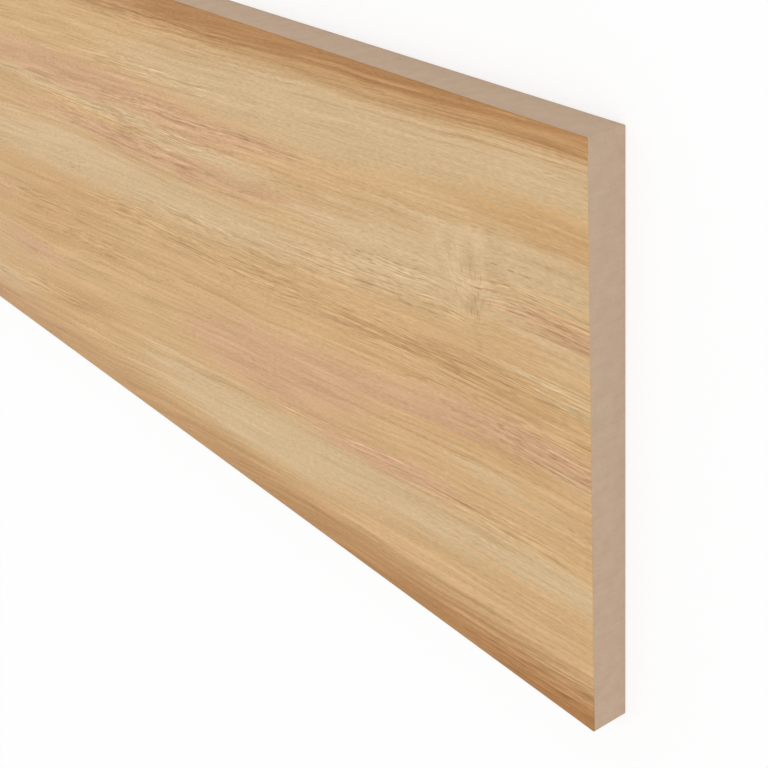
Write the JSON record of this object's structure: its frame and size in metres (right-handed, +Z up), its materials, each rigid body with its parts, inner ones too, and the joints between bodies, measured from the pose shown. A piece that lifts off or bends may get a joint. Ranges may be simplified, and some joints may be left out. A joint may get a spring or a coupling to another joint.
{
  "type": "stair riser board",
  "caption": "Flat fibreboard stair riser with a printed light wood-grain foil on its show face and raw sawn edges; stands upright between two stair treads.",
  "frame": {"origin": "centre of the underside (the raw back face), where the board lies on the floor", "axes": "X along the board's length, Y across it (the riser's height, +Y towards its top edge), Z up through its thickness, with the show face up"},
  "size_m": [1.3, 0.2, 0.014],
  "materials": {
    "raw_fibreboard": "sawn and sanded, matt",
    "wood_grain_foil": "printed wood grain, satin"
  },
  "bodies": {
    "root": {"fibreboard_core": "raw_fibreboard", "wood_grain_foil": "wood_grain_foil"}
  },
  "joints": []
}
